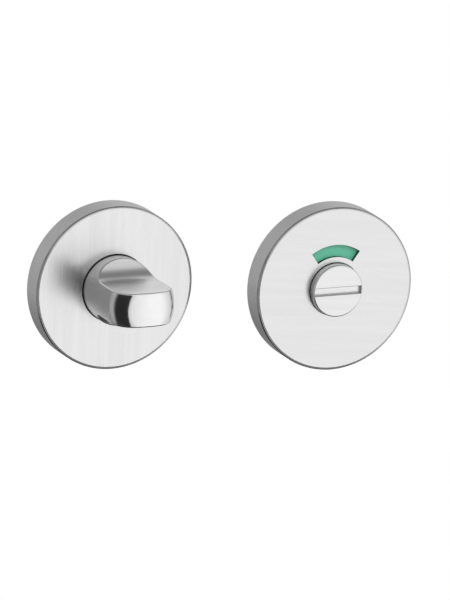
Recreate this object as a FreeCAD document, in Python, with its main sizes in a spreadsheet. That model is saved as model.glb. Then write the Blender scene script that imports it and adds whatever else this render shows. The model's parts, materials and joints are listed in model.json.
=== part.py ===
import FreeCAD, Part
import os
from math import acos, asin, cos, degrees, hypot, radians, sin
from types import SimpleNamespace

import Sketcher

# Bathroom lock set on two round roses: a thumb turn for the inside of the door and a coin release with
# an indicator window for the outside. One square spindle joins them through the door.
#
# Each half is drawn in its own frame: x to the right, y up, z out of the door, with the door face at
# z = 0 and the rose's axis on x = y = 0. The whole set has its origin on the turn's axis at its door
# face, with Z up and the fronts towards -Y. The release half stands beside the turn half, a little in
# front of it, so that both faces can be seen together.

os.makedirs("parts", exist_ok=True)
doc = FreeCAD.newDocument("bathroom_turn")

# Driving dimensions, in millimetres and degrees
DIMENSIONS = [
    ("release_right", 65.6, "release axis to the right of the turn axis"),
    ("release_forward", 19.5, "release door face in front of the turn's"),
    ("rose_diameter", 52.0, "outside of each cover"),
    ("rose_height", 8.0, "door face to the front of each cover"),
    ("cover_wall", 1.2, "side wall of the drawn cover"),
    ("cover_front", 1.2, "front wall of the drawn cover"),
    ("cover_edge", 0.5, "rounding of the cover's front edge"),
    ("cover_inner_edge", 0.3, "rounding inside that edge"),
    ("cover_fit", 0.15, "radial room between plate and cover"),
    ("snap_depth", 0.35, "groove inside the cover for the plate's nibs"),
    ("snap_width", 0.8, "width of that groove"),
    ("snap_height", 1.2, "door face to that groove"),
    ("nib_height", 0.3, "how far a nib stands out of the plate's edge"),
    ("nib_play", 0.1, "room behind and before a nib in the groove"),
    ("nib_slope", 0.2, "slanted end of a nib"),
    ("nib_angle", 12.0, "arc that one nib covers"),
    ("plate_thickness", 3.0, "mounting plate"),
    ("plate_skin", 1.2, "metal left behind the plate's hollows"),
    ("hollow_inner", 12.6, "inner radius of a hollow"),
    ("hollow_rim", 2.25, "metal between a hollow and the plate's edge"),
    ("hollow_angle", 17.0, "half the arc of a hollow"),
    ("hub_diameter", 21.0, "raised hub of the plate"),
    ("bolt_spacing", 38.0, "between the two through-bolt holes"),
    ("bolt_hole", 4.3, "through-bolt hole"),
    ("screw_rim", 2.25, "metal between a wood screw's head and the plate's edge"),
    ("screw_turn", 45.0, "first wood screw, from the bolt line"),
    ("screw_diameter", 3.5, "wood screw over its thread"),
    ("screw_root", 2.4, "wood screw's point where it starts to taper"),
    ("screw_length", 16.0, "wood screw, head to point"),
    ("screw_point", 4.0, "length of its point"),
    ("screw_head", 6.8, "countersunk head"),
    ("screw_hole_room", 0.3, "hole larger than the screw"),
    ("screw_sink_room", 0.06, "countersink larger than the screw's head"),
    ("recess_span", 3.8, "cross recess, tip to tip"),
    ("recess_width", 0.9, "one wing of the recess"),
    ("recess_depth", 1.4, "depth of the recess"),
    ("shank_diameter", 12.0, "shank of the knob and of the coin turn"),
    ("shank_back", 0.3, "shank's end inside the door face"),
    ("shank_land", 0.5, "shank behind the clip groove"),
    ("running_fit", 0.08, "radial room of a shank in its bush"),
    ("end_play", 0.05, "room between a turning face and its seat"),
    ("bush_wall", 1.1, "wall of the bush"),
    ("bush_flange", 18.0, "flange of the bush"),
    ("bush_flange_height", 0.8, "thickness of that flange"),
    ("bush_fit", 0.03, "radial room of the bush in the hub"),
    ("clip_thickness", 1.0, "retaining clip"),
    ("clip_groove_room", 0.05, "groove wider than the clip"),
    ("clip_groove_depth", 0.25, "depth of the groove in the shank"),
    ("clip_fit", 0.03, "radial room of the clip on its groove"),
    ("clip_width", 1.8, "clip opposite its gap"),
    ("clip_offset", 0.35, "how far its outside stands off centre"),
    ("clip_ear", 1.5, "radius of an ear of the clip"),
    ("clip_ear_angle", 20.0, "from the middle of the gap to an ear"),
    ("clip_ear_hole", 1.5, "plier hole in an ear"),
    ("clip_gap", 2.0, "gap between the ears"),
    ("washer_outer", 18.0, "flat washer"),
    ("washer_hole", 12.4, "hole of both washers"),
    ("washer_thickness", 0.5, "flat washer"),
    ("spring_outer", 17.2, "curved washer"),
    ("spring_thickness", 0.25, "curved washer's sheet"),
    ("spring_height", 0.6, "curved washer, back to front"),
    ("well_diameter", 19.6, "well behind the hub for clip and washers"),
    ("spindle_width", 6.0, "square spindle across its flats"),
    ("spindle_fit", 0.1, "square socket larger than the spindle"),
    ("spindle_behind", 38.0, "spindle behind the door face"),
    ("spindle_inside", 22.0, "spindle inside the knob"),
    ("spindle_chamfer", 0.5, "chamfer of the spindle's ends"),
    ("pin_diameter", 2.0, "cross pin"),
    ("pin_wall", 0.35, "rolled wall of the pin"),
    ("pin_slit", 0.4, "slit along the pin"),
    ("pin_short", 0.1, "each end of the pin inside the shank's surface"),
    ("pin_fit", 0.02, "radial room of the pin"),
    ("pin_height", 5.0, "door face to the pin's axis"),
    ("knob_diameter", 21.2, "round base of the knob"),
    ("knob_gap", 0.35, "radial room of the knob in its cover"),
    ("knob_sunk", 1.05, "base of the knob below the cover's front"),
    ("knob_collar", 2.0, "straight part of the base in front of the cover"),
    ("knob_projection", 27.0, "cover's front to the middle of the bowed front"),
    ("knob_front_width", 21.2, "width of the knob at its front"),
    ("knob_front_oval", 26.4, "height that the front oval would have without the scoops"),
    ("knob_front_height", 10.9, "height of the front face"),
    ("knob_front_bow", 30.0, "radius of the bowed front, seen from above"),
    ("knob_corner", 6.0, "rounding where flanks and front meet"),
    ("knob_waist", 10.4, "thinnest height behind the front"),
    ("scoop_start", 4.9, "cover's front to the start of a scoop"),
    ("scoop_radius", 5.9, "hollow curve of a scoop"),
    ("knob_edge", 0.5, "rounding along the edge of a scoop"),
    ("coin_diameter", 16.6, "head of the coin turn"),
    ("coin_gap", 0.27, "radial room of the head in its cover"),
    ("coin_projection", 2.9, "head in front of the cover"),
    ("coin_edge", 0.5, "rounding of the head"),
    ("slot_width", 2.4, "coin slot"),
    ("slot_depth", 1.25, "coin slot"),
    ("slot_bevel", 0.15, "bevel along the slot's mouth"),
    ("coin_socket_wall", 1.85, "metal between slot and socket"),
    ("key_diameter", 14.0, "keyed boss that drives the disc"),
    ("key_flats", 12.4, "across the flats of the boss"),
    ("key_fit", 0.1, "room between boss and disc"),
    ("disc_diameter", 31.0, "indicator disc"),
    ("disc_thickness", 0.65, "indicator disc"),
    ("disc_drop", 0.5, "room between the foils and the cover"),
    ("foil_thickness", 0.15, "coloured foil"),
    ("foil_inner", 9.2, "inner radius of a foil"),
    ("foil_outer", 15.0, "outer radius of a foil"),
    ("foil_angle", 44.0, "half the arc of a foil"),
    ("window_inner", 10.15, "inner radius of the window"),
    ("window_outer", 14.1, "outer radius of the window"),
    ("window_angle", 35.0, "half the arc of the window"),
]

sheet = doc.addObject("Spreadsheet::Sheet", "Sizes")
for row, (alias, number, meaning) in enumerate(DIMENSIONS, start=1):
    sheet.set(f"A{row}", meaning)
    sheet.set(f"B{row}", str(number))
    sheet.setAlias(f"B{row}", alias)
doc.recompute()


class Size:
    """A number with the sheet formula that it comes from, so a sketch can be tied to the sheet."""

    def __init__(self, value, formula):
        self.value = value
        self.formula = formula

    def __add__(self, other):
        other = as_size(other)
        return Size(self.value + other.value, f"({self.formula} + {other.formula})")

    def __sub__(self, other):
        other = as_size(other)
        return Size(self.value - other.value, f"({self.formula} - {other.formula})")

    def __mul__(self, other):
        other = as_size(other)
        return Size(self.value * other.value, f"({self.formula} * {other.formula})")

    def __truediv__(self, other):
        other = as_size(other)
        return Size(self.value / other.value, f"({self.formula} / {other.formula})")

    def __neg__(self):
        return Size(-self.value, f"(0 - {self.formula})")

    __radd__ = __add__


def as_size(thing):
    return thing if isinstance(thing, Size) else Size(float(thing), str(float(thing)))


def sine(angle):
    return Size(sin(radians(angle.value)), f"sin({angle.formula})")


def cosine(angle):
    return Size(cos(radians(angle.value)), f"cos({angle.formula})")


d = SimpleNamespace(**{alias: Size(float(sheet.get(alias)), f"Sizes.{alias}") for alias, _, _ in DIMENSIONS})
NOTHING = as_size(0)

# Heights above the door face that several pieces share
cover_inside = d.rose_height - d.cover_front
clip_back = d.shank_back + d.shank_land
clip_front = clip_back + d.clip_thickness
spring_front = clip_front + d.spring_height
well_depth = spring_front + d.washer_thickness
knob_back = d.rose_height - d.knob_sunk
foil_front = cover_inside - d.disc_drop
disc_front = foil_front - d.foil_thickness
disc_back = disc_front - d.disc_thickness
coin_back = disc_back - d.end_play
turn_hub_top = knob_back - d.end_play - d.bush_flange_height
release_hub_top = coin_back - d.end_play - d.bush_flange_height

# Radii that fit into each other
cover_bore = d.rose_diameter / 2 - d.cover_wall
plate_edge = cover_bore - d.cover_fit
screw_radius = plate_edge - d.screw_rim - d.screw_head / 2
bush_bore = d.shank_diameter / 2 + d.running_fit
bush_outside = bush_bore + d.bush_wall
clip_seat = d.shank_diameter / 2 - d.clip_groove_depth
socket_width = d.spindle_width + d.spindle_fit

turned_up = FreeCAD.Rotation(FreeCAD.Vector(1, 0, 0), 90)


class Outline:
    """A sketch on one of its body's own origin planes."""

    def __init__(self, body, name, plane="XY_Plane", lift=NOTHING, turn=NOTHING):
        self.body = body
        self.sketch = body.newObject("Sketcher::SketchObject", name)
        self.sketch.AttachmentSupport = (origin_item(body, plane), [""])
        self.sketch.MapMode = "FlatFace"
        about = FreeCAD.Vector(0, 0, 1) if plane == "XY_Plane" else FreeCAD.Vector(0, 1, 0)
        self.sketch.AttachmentOffset = FreeCAD.Placement(
            FreeCAD.Vector(0, 0, 0), FreeCAD.Rotation(about, turn.value))
        if lift is not NOTHING:
            self.sketch.setExpression("AttachmentOffset.Base.z", lift.formula)
        if turn is not NOTHING:
            self.sketch.setExpression("AttachmentOffset.Rotation.Angle", turn.formula)

    def add(self, shape, construction=False):
        return self.sketch.addGeometry(shape, construction)

    def rule(self, *parts):
        return self.sketch.addConstraint(Sketcher.Constraint(*parts))

    def measure(self, kind, *parts, size):
        index = self.rule(kind, *parts, size.value)
        self.sketch.setExpression(f"Constraints[{index}]", size.formula)

    def locate(self, item, point, x=None, y=None):
        if x is not None:
            self.measure("DistanceX", -1, 1, item, point, size=as_size(x))
        if y is not None:
            self.measure("DistanceY", -1, 1, item, point, size=as_size(y))

    def polygon(self, corners):
        spots = [FreeCAD.Vector(as_size(x).value, as_size(y).value, 0) for x, y in corners]
        following = spots[1:] + spots[:1]
        edges = [self.add(Part.LineSegment(*ends)) for ends in zip(spots, following)]
        for i, edge in enumerate(edges):
            self.rule("Coincident", edge, 2, edges[(i + 1) % len(edges)], 1)
            self.locate(edge, 1, *corners[i])
        return self

    def circle(self, radius, x=NOTHING, y=NOTHING):
        centre = FreeCAD.Vector(as_size(x).value, as_size(y).value, 0)
        item = self.add(Part.Circle(centre, FreeCAD.Vector(0, 0, 1), radius.value))
        self.locate(item, 3, x, y)
        self.measure("Radius", item, size=radius)
        return self

    def rectangle(self, left, right, low, high):
        return self.polygon([(left, low), (right, low), (right, high), (left, high)])

    def bare_arc(self, radius, start, end, x=NOTHING, y=NOTHING):
        """An arc from one angle in degrees to another, with nothing tied yet."""
        whole = Part.Circle(FreeCAD.Vector(x.value, y.value, 0), FreeCAD.Vector(0, 0, 1), radius.value)
        return self.add(Part.ArcOfCircle(whole, radians(start), radians(end)))

    def arc(self, radius, start, end, x=NOTHING, y=NOTHING):
        """The same with its centre and radius tied."""
        item = self.bare_arc(radius, start, end, x, y)
        self.locate(item, 3, x, y)
        self.measure("Radius", item, size=radius)
        return item

    def line(self, start, end, construction=False):
        spots = [FreeCAD.Vector(x.value, y.value, 0) for x, y in (start, end)]
        return self.add(Part.LineSegment(*spots), construction)

    def close_through(self, first, first_point, corners, last, last_point):
        """Straight edges from the end of one arc, through some corners, to the end of another."""
        edges = [self.line(*pair) for pair in zip(corners, corners[1:])]
        for edge, corner in zip(edges, corners):
            self.locate(edge, 1, *corner)
        self.locate(edges[-1], 2, *corners[-1])
        for edge, following in zip(edges, edges[1:]):
            self.rule("Coincident", edge, 2, following, 1)
        self.join(first, first_point, edges[0], 1)
        self.join(edges[-1], 2, last, last_point)

    def join(self, first, first_point, second, second_point):
        """A straight edge from a point of one edge to a point of another."""
        ends = [self.sketch.getPoint(first, first_point), self.sketch.getPoint(second, second_point)]
        edge = self.add(Part.LineSegment(*ends))
        self.rule("Coincident", edge, 1, first, first_point)
        self.rule("Coincident", edge, 2, second, second_point)
        return edge

    def sector(self, inner, outer, half_angle):
        """A ring's sector centred on the sketch's upright axis."""
        first = 90 - half_angle.value
        last = 90 + half_angle.value
        arcs = [self.arc(radius, first, last) for radius in (inner, outer)]
        for item, radius in zip(arcs, (inner, outer)):
            self.locate(item, 1, x=radius * sine(half_angle))
            self.locate(item, 2, x=-(radius * sine(half_angle)))
        self.join(arcs[0], 1, arcs[1], 1)
        self.join(arcs[0], 2, arcs[1], 2)
        return self

    def keyed_round(self, radius, half_flats):
        """A circle with two flats, above and below its centre."""
        corner = degrees(asin(half_flats.value / radius.value))
        right = self.arc(radius, -corner, corner)
        left = self.arc(radius, 180 - corner, 180 + corner)
        for item, low, high in ((right, 1, 2), (left, 2, 1)):
            self.locate(item, low, y=-half_flats)
            self.locate(item, high, y=half_flats)
        self.join(right, 2, left, 1)
        self.join(left, 2, right, 1)
        return self

    def oval(self, width, height):
        """An upright oval about the sketch's origin."""
        top = FreeCAD.Vector(0, height.value / 2, 0)
        side = FreeCAD.Vector(width.value / 2, 0, 0)
        item = self.add(Part.Ellipse(top, side, FreeCAD.Vector(0, 0, 0)))
        self.sketch.exposeInternalGeometry(item)
        self.rule("Coincident", item, 3, -1, 1)
        self.rule("Vertical", item + 1)
        self.measure("Distance", item + 1, size=height)
        self.measure("Distance", item + 2, size=width)
        return self

    def beyond_arc(self, centre, radius, half_width, far, hollow=False):
        """The space from an arc to a straight edge beyond it; a hollow arc curves the other way."""
        lean = degrees(acos(half_width.value / radius.value))
        first, last = (180 + lean, 360 - lean) if hollow else (lean, 180 - lean)
        item = self.arc(radius, first, last, y=centre)
        right_end, left_end = (2, 1) if hollow else (1, 2)
        self.locate(item, right_end, x=half_width)
        self.locate(item, left_end, x=-half_width)
        self.close_through(item, right_end, [(half_width, far), (-half_width, far)], item, left_end)
        return self

    def upright_axis(self, x):
        """A construction line along the rose's axis, to turn a profile about."""
        low = (x, NOTHING)
        high = (x, as_size(1))
        line = self.line(low, high, construction=True)
        self.locate(line, 1, *low)
        self.locate(line, 2, *high)

    def cross(self, x, reach, half_width):
        """An upright cross, for a screw's recess."""
        low_x, high_x = x - reach, x + reach
        left, right = x - half_width, x + half_width
        return self.polygon([
            (low_x, -half_width), (left, -half_width), (left, -reach), (right, -reach),
            (right, -half_width), (high_x, -half_width), (high_x, half_width), (right, half_width),
            (right, reach), (left, reach), (left, half_width), (low_x, half_width),
        ])

    def pad(self, name, length, both_ways=False):
        feature = self.body.newObject("PartDesign::Pad", name)
        feature.Profile = self.sketch
        feature.setExpression("Length", length.formula)
        feature.Midplane = both_ways
        return self.finish(feature)

    def pocket(self, name, depth=None, backwards=False, both_ways=False):
        feature = self.body.newObject("PartDesign::Pocket", name)
        feature.Profile = self.sketch
        if depth is None:
            feature.Type = "ThroughAll"
        else:
            feature.setExpression("Length", depth.formula)
        feature.Reversed = backwards
        feature.Midplane = both_ways
        return self.finish(feature)

    def turned(self, name, kind="Revolution", axis="V_Axis", angle=None):
        feature = self.body.newObject(f"PartDesign::{kind}", name)
        feature.Profile = self.sketch
        feature.ReferenceAxis = (self.sketch, [axis])
        if angle is None:
            feature.Angle = 360
        else:
            feature.setExpression("Angle", angle.formula)
            feature.Midplane = True
        return self.finish(feature)

    def finish(self, feature):
        self.sketch.Visibility = False
        before = volume_of(self.body)
        self.body.Tip = feature
        doc.recompute()
        if abs(volume_of(self.body) - before) < 1e-6:
            raise ValueError(f"{self.body.Label}: {feature.Name} changes nothing")
        return feature


def origin_item(body, role):
    return next(item for item in body.Origin.OriginFeatures if item.Role == role)


def volume_of(body):
    shape = body.Shape
    return 0.0 if shape.isNull() else shape.Volume


def new_body(label, half, spin=0.0):
    """A piece of one half, turned by spin degrees about the rose's axis."""
    body = doc.addObject("PartDesign::Body", label)
    body.Label = label
    body.Placement = FreeCAD.Placement(
        FreeCAD.Vector(0, 0, 0), turned_up * FreeCAD.Rotation(FreeCAD.Vector(0, 0, 1), spin))
    if half == "release":
        body.setExpression("Placement.Base.x", d.release_right.formula)
        body.setExpression("Placement.Base.y", (-d.release_forward).formula)
    return body


def ring_pattern(body, name, originals, count):
    """Copies of features, evenly spaced about the rose's axis."""
    feature = body.newObject("PartDesign::PolarPattern", name)
    feature.Originals = originals
    feature.Axis = (origin_item(body, "Z_Axis"), [""])
    feature.Angle = 360
    feature.Occurrences = count
    body.Tip = feature
    doc.recompute()
    return feature


def edges_where(feature, wanted):
    """Names of a feature's edges whose middle point passes a test."""
    names = []
    for number, edge in enumerate(feature.Shape.Edges, start=1):
        middle = edge.valueAt((edge.FirstParameter + edge.LastParameter) / 2)
        if wanted(edge, middle):
            names.append(f"Edge{number}")
    return names


def round_edges(body, name, feature, names, radius):
    fillet = body.newObject("PartDesign::Fillet", name)
    fillet.Base = (feature, names)
    fillet.setExpression("Radius", radius.formula)
    body.Tip = fillet
    doc.recompute()
    return fillet


def bevel_edges(body, name, feature, names, size):
    chamfer = body.newObject("PartDesign::Chamfer", name)
    chamfer.Base = (feature, names)
    chamfer.setExpression("Size", size.formula)
    body.Tip = chamfer
    doc.recompute()
    return chamfer


def make_cover(half, hole_radius, window=False):
    """Drawn steel cup with a round hole and, on the release half, an arched window."""
    body = new_body(f"{half}_cover", half)
    outside = d.rose_diameter / 2
    groove = cover_bore + d.snap_depth
    groove_top = d.snap_height + d.snap_width
    wall = Outline(body, f"{half}_cover_section", "XZ_Plane").polygon([
        (hole_radius, cover_inside),
        (cover_bore, cover_inside),
        (cover_bore, groove_top),
        (groove, groove_top),
        (groove, d.snap_height),
        (cover_bore, d.snap_height),
        (cover_bore, NOTHING),
        (outside, NOTHING),
        (outside, d.rose_height),
        (hole_radius, d.rose_height),
    ]).turned(f"{half}_cover_cup")
    rim = edges_where(wall, lambda edge, middle: is_circle(edge, outside, d.rose_height))
    rounded = round_edges(body, f"{half}_cover_edge", wall, rim, d.cover_edge)
    inner_rim = edges_where(rounded, lambda edge, middle: is_circle(edge, cover_bore, cover_inside))
    round_edges(body, f"{half}_cover_inner_edge", rounded, inner_rim, d.cover_inner_edge)
    if window:
        opening = Outline(body, "window_outline", lift=d.rose_height)
        opening.sector(d.window_inner, d.window_outer, d.window_angle)
        opening.pocket("window", d.cover_front)
    return body


def is_circle(edge, radius, height):
    """True for a whole circle of that radius about the rose's axis, in the piece's own frame."""
    curve = edge.Curve
    return (isinstance(curve, Part.Circle) and abs(curve.Radius - radius.value) < 1e-4
            and abs(curve.Center.z - height.value) < 1e-4)


def make_plate(half, hub_top):
    """Cast plate that is screwed to the door: a hub for the bush and four nibs that hold the cover."""
    body = new_body(f"{half}_mounting_plate", half)
    bush_hole = bush_outside + d.bush_fit
    well = d.well_diameter / 2
    Outline(body, f"{half}_plate_section", "XZ_Plane").polygon([
        (bush_hole, well_depth),
        (well, well_depth),
        (well, NOTHING),
        (plate_edge, NOTHING),
        (plate_edge, d.plate_thickness),
        (d.hub_diameter / 2, d.plate_thickness),
        (d.hub_diameter / 2, hub_top),
        (bush_hole, hub_top),
    ]).turned(f"{half}_plate_casting")

    bolts = Outline(body, f"{half}_bolt_centres")
    for side in (d.bolt_spacing / 2, -(d.bolt_spacing / 2)):
        bolts.circle(d.bolt_hole / 2, x=side)
    bolts.pocket(f"{half}_bolt_holes", d.plate_thickness, backwards=True)

    hole = (d.screw_diameter + d.screw_hole_room) / 2
    sink = (d.screw_head + d.screw_sink_room) / 2
    centre = screw_radius
    screw_hole = Outline(body, f"{half}_screw_hole_section", "XZ_Plane", turn=d.screw_turn)
    screw_hole.upright_axis(centre)
    screw_hole.polygon([
        (centre, NOTHING),
        (centre + hole, NOTHING),
        (centre + hole, d.plate_thickness - (sink - hole)),
        (centre + sink, d.plate_thickness),
        (centre, d.plate_thickness),
    ])
    first_hole = screw_hole.turned(f"{half}_screw_hole", "Groove", axis="Axis0")
    ring_pattern(body, f"{half}_screw_holes", [first_hole], 2)

    for name, turn in (("upper", NOTHING), ("diagonal", d.screw_turn)):
        hollow = Outline(body, f"{half}_{name}_hollow_outline", turn=turn)
        hollow.sector(d.hollow_inner, plate_edge - d.hollow_rim, d.hollow_angle)
        cut = hollow.pocket(f"{half}_{name}_hollow", d.plate_thickness - d.plate_skin, backwards=True)
        ring_pattern(body, f"{half}_{name}_hollows", [cut], 2)

    low = d.snap_height + d.nib_play
    high = d.snap_height + d.snap_width - d.nib_play
    tip = plate_edge + d.nib_height
    root_radius = plate_edge - d.nib_height
    nib = Outline(body, f"{half}_nib_section", "XZ_Plane").polygon([
        (root_radius, low),
        (plate_edge, low),
        (tip, low + d.nib_slope),
        (tip, high - d.nib_slope),
        (plate_edge, high),
        (root_radius, high),
    ]).turned(f"{half}_nib", angle=d.nib_angle)
    ring_pattern(body, f"{half}_nibs", [nib], 4)
    return body


def make_bush(half, hub_top):
    """Flanged nylon bush that the shank turns in."""
    body = new_body(f"{half}_bush", half)
    flange = d.bush_flange / 2
    flange_front = hub_top + d.bush_flange_height
    Outline(body, f"{half}_bush_section", "XZ_Plane").polygon([
        (bush_bore, well_depth),
        (bush_outside, well_depth),
        (bush_outside, hub_top),
        (flange, hub_top),
        (flange, flange_front),
        (bush_bore, flange_front),
    ]).turned(f"{half}_bush_turning")
    return body


def shank_corners():
    """The shank's half section, from its middle at the back to where it meets the head."""
    shank = d.shank_diameter / 2
    groove_back = clip_back - d.clip_groove_room / 2
    groove_front = clip_front + d.clip_groove_room / 2
    return [
        (NOTHING, d.shank_back),
        (shank - d.shank_land / 2, d.shank_back),
        (shank, d.shank_back + d.shank_land / 2),
        (shank, groove_back),
        (clip_seat, groove_back),
        (clip_seat, groove_front),
        (shank, groove_front),
    ]


def cut_socket(body, name, depth):
    half_width = socket_width / 2
    outline = Outline(body, f"{name}_outline", lift=d.shank_back)
    outline.rectangle(-half_width, half_width, -half_width, half_width)
    return outline.pocket(name, depth, backwards=True)


def make_knob():
    """Cast knob: round base, oval body with a bowed front, and a scoop above and below for the fingers."""
    body = new_body("thumb_knob", "turn")
    shank = d.shank_diameter / 2
    base = d.knob_diameter / 2
    collar_front = d.rose_height + d.knob_collar
    front = d.rose_height + d.knob_projection
    Outline(body, "knob_base_section", "XZ_Plane").polygon(shank_corners() + [
        (shank, knob_back),
        (base, knob_back),
        (base, collar_front),
        (NOTHING, collar_front),
    ]).turned("knob_base")

    round_end = Outline(body, "knob_round_end", lift=collar_front).circle(base)
    oval_end = Outline(body, "knob_oval_end", lift=front).oval(d.knob_front_width, d.knob_front_oval)
    loft = body.newObject("PartDesign::AdditiveLoft", "knob_body")
    loft.Profile = round_end.sketch
    loft.Sections = [oval_end.sketch]
    oval_end.finish(loft)

    bow = Outline(body, "knob_front_outline", "XZ_Plane")
    bow.beyond_arc(front - d.knob_front_bow, d.knob_front_bow, d.knob_front_oval / 2, front + d.knob_corner)
    bowed = bow.pocket("knob_bowed_front", both_ways=True)
    rim = edges_where(bowed, lambda edge, middle: middle.z > collar_front.value + d.knob_corner.value
                      and not is_seam(edge))
    round_edges(body, "knob_corners", bowed, rim, d.knob_corner)

    scoop = Outline(body, "scoop_outline", "YZ_Plane")
    draw_scoop(scoop, front)
    upper = scoop.pocket("upper_scoop", both_ways=True)
    lower = body.newObject("PartDesign::Mirrored", "lower_scoop")
    lower.Originals = [upper]
    lower.MirrorPlane = (origin_item(body, "XZ_Plane"), [""])
    scoop.finish(lower)
    crest = edges_where(lower, lambda edge, middle: on_scoop(middle, front) and not lies_across(edge))
    round_edges(body, "scoop_edges", lower, crest, d.knob_edge)
    cut_socket(body, "knob_socket", d.spindle_inside + d.spindle_fit - d.shank_back)
    cut_pin_hole(body, "knob")
    return body


def scoop_curves(front):
    """Half the waist, the height where the hollow turns into the flare, and the flare's radius."""
    waist = d.knob_waist / 2
    middle_z = d.rose_height + d.scoop_start + d.scoop_radius
    rise = d.knob_front_height / 2 - waist
    run = front - middle_z
    return waist, middle_z, (run * run + rise * rise) / (rise * 2)


def draw_scoop(outline, front):
    """Side view of the upper scoop: a quarter hollow out of the base, then a long flare to the front."""
    waist, middle_z, flare = scoop_curves(front)
    front_edge = d.knob_front_height / 2
    middle_y = waist + d.scoop_radius
    start_z = middle_z - d.scoop_radius
    quarter = outline.arc(d.scoop_radius, 180, 270, middle_y, middle_z)
    outline.locate(quarter, 1, y=middle_z)
    outline.locate(quarter, 2, x=middle_y)
    lean = degrees(asin((front - middle_z).value / flare.value))
    long = outline.bare_arc(flare, 180 - lean, 180, waist + flare, middle_z)
    outline.rule("Coincident", long, 2, quarter, 1)
    outline.locate(long, 3, y=middle_z)
    outline.locate(long, 1, front_edge, front)
    clear_y = d.knob_front_oval
    clear_z = front + d.knob_corner
    corners = [(front_edge, clear_z), (clear_y, clear_z), (clear_y, start_z)]
    outline.close_through(long, 1, corners, quarter, 2)


def on_scoop(point, front):
    """True for a point on the upper or the lower scoop."""
    waist, middle_z, flare = scoop_curves(front)
    radius = d.scoop_radius if point.z < middle_z.value else flare
    from_middle = hypot(abs(point.y) - (waist + radius).value, point.z - middle_z.value)
    return abs(from_middle - radius.value) < 1e-3


def lies_across(edge):
    """True for an edge that runs straight from side to side."""
    return abs(edge.tangentAt((edge.FirstParameter + edge.LastParameter) / 2).x) > 0.9999


def is_seam(edge):
    """True for a straight seam that runs along the rose's axis."""
    return abs(edge.tangentAt((edge.FirstParameter + edge.LastParameter) / 2).z) > 0.9


def make_coin_turn():
    """Slotted head for a coin, with a keyed boss for the disc and a shank with the spindle's socket."""
    body = new_body("coin_turn", "release")
    shank = d.shank_diameter / 2
    head = d.coin_diameter / 2
    head_front = d.rose_height + d.coin_projection
    turning = Outline(body, "coin_turn_section", "XZ_Plane").polygon(shank_corners() + [
        (shank, disc_front),
        (head, disc_front),
        (head, head_front),
        (NOTHING, head_front),
    ]).turned("coin_turn_turning")
    rim = edges_where(turning, lambda edge, middle: is_circle(edge, head, head_front))
    round_edges(body, "coin_turn_edge", turning, rim, d.coin_edge)

    key = Outline(body, "key_outline", lift=coin_back)
    key.keyed_round(d.key_diameter / 2, d.key_flats / 2)
    key.pad("key", disc_front - coin_back)

    slot = Outline(body, "slot_outline", lift=head_front)
    slot.rectangle(-d.coin_diameter, d.coin_diameter, -(d.slot_width / 2), d.slot_width / 2)
    cut = slot.pocket("coin_slot", d.slot_depth)
    mouth = edges_where(cut, lambda edge, middle: lies_across(edge)
                        and abs(middle.z - head_front.value) < 1e-4)
    bevel_edges(body, "coin_slot_mouth", cut, mouth, d.slot_bevel)

    socket_end = head_front - d.slot_depth - d.coin_socket_wall
    cut_socket(body, "coin_turn_socket", socket_end - d.shank_back)
    return body


def make_disc():
    """White disc that is keyed on the coin turn and carries the two foils."""
    body = new_body("indicator_disc", "release")
    Outline(body, "disc_outline", lift=disc_back).circle(d.disc_diameter / 2).pad("disc", d.disc_thickness)
    hole = Outline(body, "disc_hole_outline", lift=disc_back)
    hole.keyed_round(d.key_diameter / 2 + d.key_fit, d.key_flats / 2 + d.key_fit)
    hole.pocket("disc_hole", d.disc_thickness, backwards=True)
    return body


def make_foil(label, spin):
    """One coloured sector on the front of the disc."""
    body = new_body(label, "release", spin)
    outline = Outline(body, f"{label}_outline", lift=disc_front)
    outline.sector(d.foil_inner, d.foil_outer, d.foil_angle)
    outline.pad(f"{label}_sheet", d.foil_thickness)
    return body


def make_flat_washer(half):
    body = new_body(f"{half}_flat_washer", half)
    ring = Outline(body, f"{half}_flat_washer_outline", lift=spring_front)
    ring.circle(d.washer_outer / 2).circle(d.washer_hole / 2)
    ring.pad(f"{half}_flat_washer_ring", d.washer_thickness)
    return body


def make_curved_washer(half):
    """Spring washer bowed about an upright line, hollow side to the front."""
    body = new_body(f"{half}_curved_washer", half)
    ring = Outline(body, f"{half}_curved_washer_outline", lift=clip_front)
    ring.circle(d.spring_outer / 2).circle(d.washer_hole / 2)
    ring.pad(f"{half}_curved_washer_ring", d.spring_height)
    edge = d.spring_outer / 2
    bow = d.spring_height - d.spring_thickness
    radius = (edge * edge + bow * bow) / (bow * 2)
    centre = clip_front + radius
    behind = clip_front - d.spring_height
    before = spring_front + d.spring_height
    for name, curve, far in (("back", radius, behind), ("front", radius - d.spring_thickness, before)):
        cut = Outline(body, f"{half}_{name}_bow_outline", "XZ_Plane")
        cut.beyond_arc(centre, curve, edge + d.spring_thickness, far, hollow=True)
        cut.pocket(f"{half}_{name}_bow", both_ways=True)
    return body


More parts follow.
